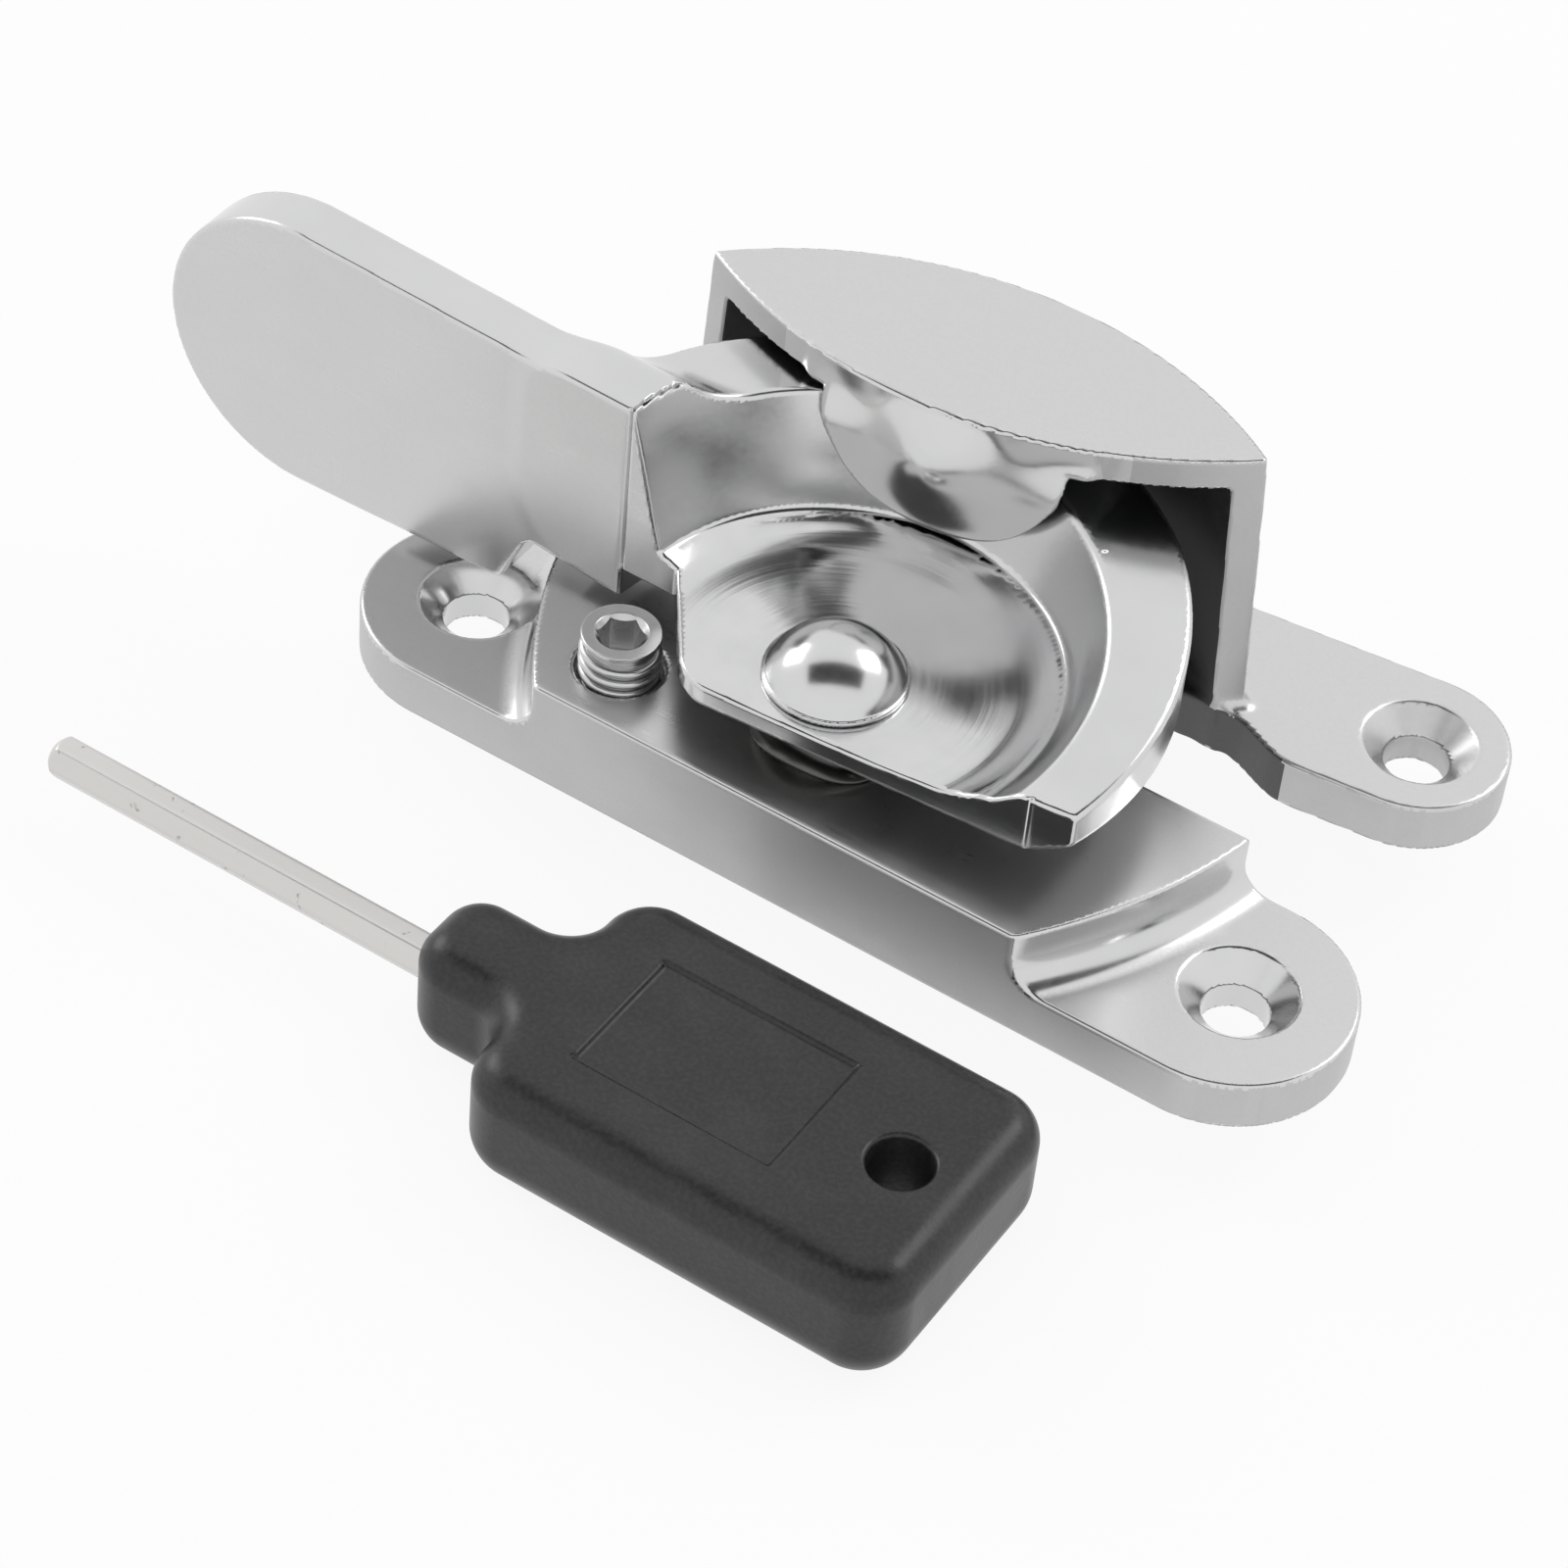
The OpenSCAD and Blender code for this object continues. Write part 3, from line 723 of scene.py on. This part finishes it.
def wave_path(node, given):
    """Ring of flat wire that rises and falls a few times round its circle."""
    ring = node("GeometryNodeCurvePrimitiveCircle", {}, {
        "Resolution": 144, "Radius": given["Radius"]})
    at = node("GeometryNodeInputPosition", {}, {})
    x, y = node("ShaderNodeSeparateXYZ", {}, {0: at}).node.outputs[:2]
    turn = node("ShaderNodeMath", {"operation": "ARCTAN2"}, {0: y, 1: x})
    phase = node("ShaderNodeMath", {"operation": "MULTIPLY"}, {0: turn, 1: given["Waves"]})
    wave = node("ShaderNodeMath", {"operation": "SINE"}, {0: phase})
    rise = node("ShaderNodeMath", {"operation": "MULTIPLY"}, {0: wave, 1: given["Rise"]})
    offset = node("ShaderNodeCombineXYZ", {}, {2: rise})
    ring = node("GeometryNodeSetPosition", {}, {"Geometry": ring, "Offset": offset})
    ring = node("GeometryNodeSetCurveNormal", {"mode": "Z_UP"}, {0: ring})
    wire = node("GeometryNodeCurvePrimitiveQuadrilateral", {}, {
        "Width": given["Width"], "Height": given["Thickness"]})
    return node("GeometryNodeCurveToMesh", {}, {"Curve": ring, "Profile Curve": wire})


# The pieces, each meshed in a box a little larger than itself

FINE = 0.26
base = finish_piece(
    cast("base_casting", base_form, (-33.5, -7.6, -0.1), (33.5, 7.6, 7.3), FINE * 0.85),
    chrome, "base", "base_plate")
cam = finish_piece(
    cast("cam_casting", cam_form, (-50.9, -8, 3.9), (19.1, 20.7, 23.3), FINE),
    chrome, "cam", "cam_lever")
keep = finish_piece(
    cast("keep_casting", keep_form, (-38.9, 9.8, -0.1), (31.3, 30.6, 23.2), FINE),
    chrome, "keep_body", "keep")
finish_piece(
    cast("rivet", rivet_form, (-5.9, -4.4, 0), (2.9, 4.4, 14.8), 0.12),
    chrome, "base", "pivot_rivet")
finish_piece(
    cast("grub_screw", screw_form, (-16.9, -5.4, 3.8), (-11.7, -0.3, 9.9), 0.06),
    screw_steel, "lock", "lock_screw")
finish_piece(
    cast("key_grip", handle_form, (-13.2, -31.5, -5.3), (23.1, -13.1, 3.7), FINE),
    plastic, "key", "key_handle")
finish_piece(
    cast("key_rod", shank_form, (-40.7, -23.8, -2.3), (0.9, -20.8, 0.7), 0.1),
    rod_steel, "key", "key_shank")

thread = grow("grub_thread", {
    "Turns": THREAD_LEN / THREAD_PITCH, "Radius": (LOCK_R - RIDGE_R - 0.01) * MM,
    "Height": THREAD_LEN * MM, "Ridge": RIDGE_R * MM},
    ridge_path, screw_steel, (PIVOT_X + LOCK[0], LOCK[1], LOCK_TOP - LOCK_LEN + 0.5))
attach(thread, "lock")

spring_low, spring_high = [np.array(corner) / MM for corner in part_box("wave_washer")]
spring_r = (spring_high[0] - spring_low[0]) / 2
spring_rise = (spring_high[2] - spring_low[2] - SPRING_T) / 2
spring = grow("wave_spring", {
    "Radius": (spring_r + SPRING_IN) / 2 * MM, "Width": (spring_r - SPRING_IN) * MM,
    "Thickness": SPRING_T * MM, "Rise": spring_rise * 0.95 * MM, "Waves": 3.0},
    wave_path, spring_steel, (spring_low + spring_high) / 2)
finish_piece(spring, spring_steel, "base", "wave_washer")


# Ground flats and sides, the turned dish, the cam's rough underside and the painted shade inside
# the hood and at the foot of its front, as rules on the middle of a face and its normal n

def upward(x, y, z, n):
    return n[:, 2] > 0.97


def base_sides(x, y, z, n):
    rim = np.hypot(np.maximum(np.abs(x) - BASE_HALF, 0), y) - BASE_R
    return (np.abs(n[:, 2]) < 0.25) & (np.abs(rim) < 0.15)


def lever_sides(x, y, z, n):
    return (np.abs(n[:, 1]) > 0.97) & (z > LEVER_Z) & (x < -13)


def cam_dish(x, y, z, n):
    return (np.hypot(x - PIVOT_X, y) < DISH_R + 0.3) & (n[:, 2] > 0.5) & (z < LIP_Z + 0.2)


def cam_below(x, y, z, n):
    return (n[:, 2] < -0.5) & (z < 13) & (x > -20)


def keep_flats(x, y, z, n):
    return (n[:, 2] > 0.97) | (z < EAR_T + 1.8)


def keep_sides(x, y, z, n):
    kx, ky = keep_place(x, y)
    front = (np.abs(hood_front(kx, ky)) < 0.12) & (np.abs(kx) > 11)
    return (np.abs(n[:, 2]) < 0.3) & (front | (z < EAR_T))


# Faces inside the hood that take the painted shade
def keep_inside(x, y, z, n):
    kx, ky = keep_place(x, y)
    hollow = (hood_hollow(kx, ky, z) < 0.1) & (hood_front(kx, ky) < 0.3) & (z > 0.1)
    return hollow & (lip_form(kx, ky, z) > 0.2)


# Faces at the foot of the keep's front that take the painted shade
def keep_neck(x, y, z, n):
    front = (np.abs(n[:, 2]) < 0.4) & (n[:, 1] < 0)
    return front & (z < EAR_T - 0.15) & (np.abs(keep_place(x, y)[0]) < 23)


for casting, material, rule in (
        (base, satin, upward), (base, linished, base_sides),
        (cam, satin, lever_sides), (cam, dish_metal, cam_dish), (cam, under_skin, cam_below),
        (keep, satin, keep_flats), (keep, linished, keep_sides),
        (keep, hood_shade, keep_inside), (keep, neck_shade, keep_neck)):
    reface(casting, material, rule)


# Studio

# Azimuth and elevation in degrees, roll in degrees, distance and target in millimetres
CAMERA = {"azimuth": 29.34, "elevation": 44.76, "roll": 5.85, "distance": 290.1,
          "target": (-4.77, 1.13, 0.0), "lens": 112.5, "sensor": 36, "near": 0.005}
# The surface under the key, a hair below its handle, and half its length
GROUND_Z, GROUND_HALF = -5.2 * MM - 0.00002, 1
# Name, azimuth, elevation, distance, size and power, in metres and watts
LAMPS = [("left_lamp", -92.6, 30, 0.6, 0.26, 0.6), ("back_lamp", 148.9, 43.6, 0.6, 0.26, 0.6)]


def direction(azimuth, elevation):
    """Unit vector towards a place around the object. Azimuth 0 is the room side, from -Y."""
    a, e = math.radians(azimuth), math.radians(elevation)
    return Vector((math.sin(a) * math.cos(e), -math.cos(a) * math.cos(e), math.sin(e)))


def emission(name, strength):
    """Plain glowing material."""
    glowing = bpy.data.materials.new(name)
    glowing.use_nodes = True
    nodes = glowing.node_tree.nodes
    nodes.clear()
    out = nodes.new("ShaderNodeOutputMaterial")
    glow = nodes.new("ShaderNodeEmission")
    glow.inputs[1].default_value = strength
    glowing.node_tree.links.new(glow.outputs[0], out.inputs[0])
    return glowing


def white_rays(tree):
    """1 for the rays that see the white background: camera, gloss and transmission."""
    path = tree.nodes.new("ShaderNodeLightPath")
    out = path.outputs["Is Camera Ray"]
    for name in ("Is Glossy Ray", "Is Transmission Ray"):
        add = tree.nodes.new("ShaderNodeMath")
        add.operation = "MAXIMUM"
        tree.links.new(out, add.inputs[0])
        tree.links.new(path.outputs[name], add.inputs[1])
        out = add.outputs[0]
    return out


def white_sky(world, dimmed, added):
    """White for the rays that see it, and dimmed light for the rest."""
    world.use_nodes = True
    tree = world.node_tree
    sky = tree.nodes["Background"]
    sky.inputs[0].default_value = (1, 1, 1, 1)
    level = tree.nodes.new("ShaderNodeMath")
    level.operation = "MULTIPLY_ADD"
    tree.links.new(white_rays(tree), level.inputs[0])
    level.inputs[1].default_value = added
    level.inputs[2].default_value = dimmed
    tree.links.new(level.outputs[0], sky.inputs[1])


def floor_finish(name, glow_share):
    """White that glows for the rays that see it, apart from a share that takes the shadow."""
    white = bpy.data.materials.new(name)
    white.use_nodes = True
    tree = white.node_tree
    paint = tree.nodes["Principled BSDF"]
    paint.inputs["Base Color"].default_value = grey(0.9)
    paint.inputs["Roughness"].default_value = 0.9
    glow = tree.nodes.new("ShaderNodeEmission")
    mix = tree.nodes.new("ShaderNodeMixShader")
    share = tree.nodes.new("ShaderNodeMath")
    share.operation = "MULTIPLY"
    share.inputs[1].default_value = glow_share
    tree.links.new(white_rays(tree), share.inputs[0])
    tree.links.new(share.outputs[0], mix.inputs[0])
    tree.links.new(paint.outputs[0], mix.inputs[1])
    tree.links.new(glow.outputs[0], mix.inputs[2])
    tree.links.new(mix.outputs[0], tree.nodes["Material Output"].inputs[0])
    return white


def quad(name, corners, material):
    mesh = bpy.data.meshes.new(name)
    mesh.from_pydata([tuple(c) for c in corners], [], [(0, 1, 2, 3)])
    mesh.materials.append(material)
    thing = bpy.data.objects.new(name, mesh)
    bpy.context.scene.collection.objects.link(thing)
    return thing


def place_card(name, azimuth, elevation, distance, size, material):
    """A card outside the picture that shows only in the metal's reflections."""
    centre = distance * direction(azimuth, elevation)
    turn = (-centre).to_track_quat("-Z", "Y").to_matrix()
    half = Vector(size) / 2
    corners = [centre + turn @ Vector((sx * half.x, sy * half.y, 0)) for sx, sy in
               ((-1, -1), (1, -1), (1, 1), (-1, 1))]
    card = quad(name, corners, material)
    card.visible_camera = False
    card.visible_diffuse = False
    card.visible_shadow = False


def lamp(name, azimuth, elevation, distance, size, power):
    """A square lamp that faces the object."""
    light = bpy.data.lights.new(name, "AREA")
    light.size = size
    light.energy = power
    thing = bpy.data.objects.new(name, light)
    thing.location = distance * direction(azimuth, elevation)
    thing.rotation_euler = (-thing.location).to_track_quat("-Z", "Y").to_euler()
    bpy.context.scene.collection.objects.link(thing)


def photo_camera():
    """Camera as it stood for the photograph, rolled about its line of sight."""
    a, r = math.radians(CAMERA["azimuth"]), math.radians(CAMERA["roll"])
    back = direction(CAMERA["azimuth"], CAMERA["elevation"])
    right = Vector((math.cos(a), math.sin(a), 0))
    up = back.cross(right)
    right, up = math.cos(r) * right + math.sin(r) * up, math.cos(r) * up - math.sin(r) * right
    data = bpy.data.cameras.new("camera")
    data.lens = CAMERA["lens"]
    data.sensor_width = CAMERA["sensor"]
    data.sensor_fit = "HORIZONTAL"
    data.clip_start = CAMERA["near"]
    camera = bpy.data.objects.new("camera", data)
    camera.matrix_world = Matrix((right, up, back)).transposed().to_4x4()
    camera.location = (Vector(CAMERA["target"]) + CAMERA["distance"] * back) * MM
    scene.collection.objects.link(camera)
    scene.camera = camera


scene = bpy.context.scene
scene.view_settings.view_transform = "Standard"
scene.cycles.glossy_bounces = 8
scene.world = bpy.data.worlds.new("studio")
white_sky(scene.world, 0.7, 0.3)
ground_corners = [(x, y, GROUND_Z) for x, y in
                 ((-GROUND_HALF, -GROUND_HALF), (GROUND_HALF, -GROUND_HALF),
                  (GROUND_HALF, GROUND_HALF), (-GROUND_HALF, GROUND_HALF))]
quad("floor", ground_corners, floor_finish("floor_white", 0.9))
place_card("tent_opening", 29, 76, 0.6, (0.95, 0.36), emission("dark_card", 0.06))
for settings in LAMPS:
    lamp(*settings)
photo_camera()
